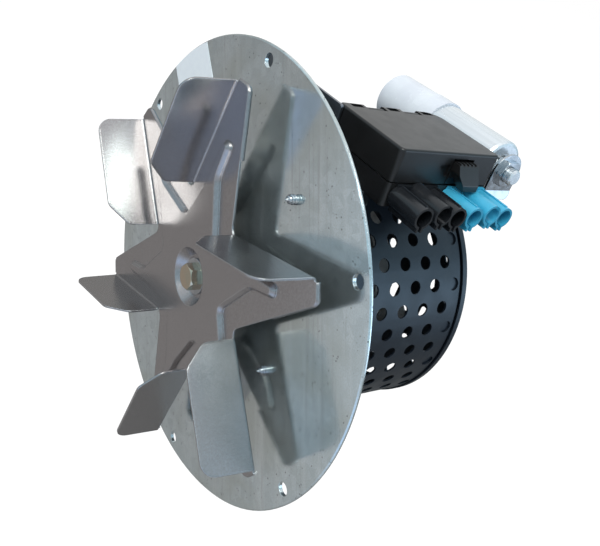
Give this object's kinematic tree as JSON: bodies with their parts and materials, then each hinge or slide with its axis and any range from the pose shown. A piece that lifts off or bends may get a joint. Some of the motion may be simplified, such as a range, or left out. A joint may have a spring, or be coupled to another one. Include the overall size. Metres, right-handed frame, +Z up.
{
  "type": "burner blower motor",
  "caption": "Induction motor in a round perforated guard on a round bolted plate, with a folded sheet-metal star impeller in front and a plug-in terminal box and capacitor on top.",
  "frame": {"origin": "centre of the mounting plate's impeller-side face, on the shaft axis", "axes": "+Y along the shaft from the plate to the motor, +Z up towards the terminal box, +X to the side that the plug sockets point at"},
  "size_m": [0.255, 0.159, 0.255],
  "materials": {
    "plate_zinc": "dull galvanised sheet with a fine spangle",
    "impeller_steel": "bright rolled stainless sheet",
    "screw_zinc": "bright zinc plating",
    "bolt_yellow_zinc": "yellow chromated zinc",
    "turned_steel": "turned steel",
    "fan_plastic": "moulded, black",
    "bearing_steel": "polished bearing steel",
    "cast_shield": "die-cast, as cast",
    "lamination": "stacked electrical sheet",
    "winding": "enamelled copper wire, varnished",
    "rotor_aluminium": "cast conductor rings",
    "cage_black": "satin black paint",
    "bracket_zinc": "galvanised sheet",
    "box_plastic": "moulded, fine-grained, black",
    "block_plastic": "moulded, natural",
    "socket_black": "moulded, black",
    "socket_blue": "moulded, blue",
    "contact_brass": "tinned brass",
    "can_aluminium": "drawn aluminium",
    "cover_white": "moulded, white",
    "black_rubber": "soft, black"
  },
  "bodies": {
    "root": {"mounting_plate": "plate_zinc", "plate_screws": "screw_zinc", "front_bearing": "bearing_steel", "rear_bearing": "bearing_steel", "front_end_shield": "cast_shield", "rear_end_shield": "cast_shield", "stator_core": "lamination", "stator_windings": "winding", "tie_bolts": "screw_zinc", "standoffs": "screw_zinc", "cage_shell": "cage_black", "cage_end_cap": "cage_black", "box_bracket": "bracket_zinc", "box_screws": "screw_zinc", "terminal_box_base": "box_plastic", "terminal_block": "block_plastic", "terminal_screws": "screw_zinc", "black_socket": "socket_black", "blue_socket": "socket_blue", "black_socket_pins": "contact_brass", "blue_socket_pins": "contact_brass", "capacitor_can": "can_aluminium", "capacitor_cover": "cover_white", "capacitor_tabs": "contact_brass", "capacitor_tooth_washer": "screw_zinc", "capacitor_nuts": "screw_zinc", "earth_lug": "screw_zinc", "motor_lead": "black_rubber", "lead_grommet": "black_rubber"},
    "rotor": {"motor_shaft": "turned_steel", "impeller_hub": "turned_steel", "impeller": "impeller_steel", "hub_bolt": "bolt_yellow_zinc", "hub_washer": "screw_zinc", "cooling_fan": "fan_plastic", "rotor_core": "lamination", "rotor_end_rings": "rotor_aluminium"},
    "lid": {"terminal_box_lid": "box_plastic"},
    "latch": {"lid_latch": "box_plastic"}
  },
  "joints": [
    {"name": "rotor_spin", "type": "hinge", "parent": "root", "child": "rotor", "pos_m": [0, 0, 0], "axis": [0, 1, 0], "continuous": true},
    {"name": "lid_hinge", "type": "hinge", "parent": "root", "child": "lid", "pos_m": [0.0287, 0.05405, 0.1127], "axis": [0, -1, 0], "range_deg": [0, 100]},
    {"name": "latch_pivot", "type": "hinge", "parent": "lid", "child": "latch", "pos_m": [0.0712, 0.0625, 0.11], "axis": [0, -1, 0], "range_deg": [0, 10], "stiffness_Nm_per_rad": 0.02}
  ]
}
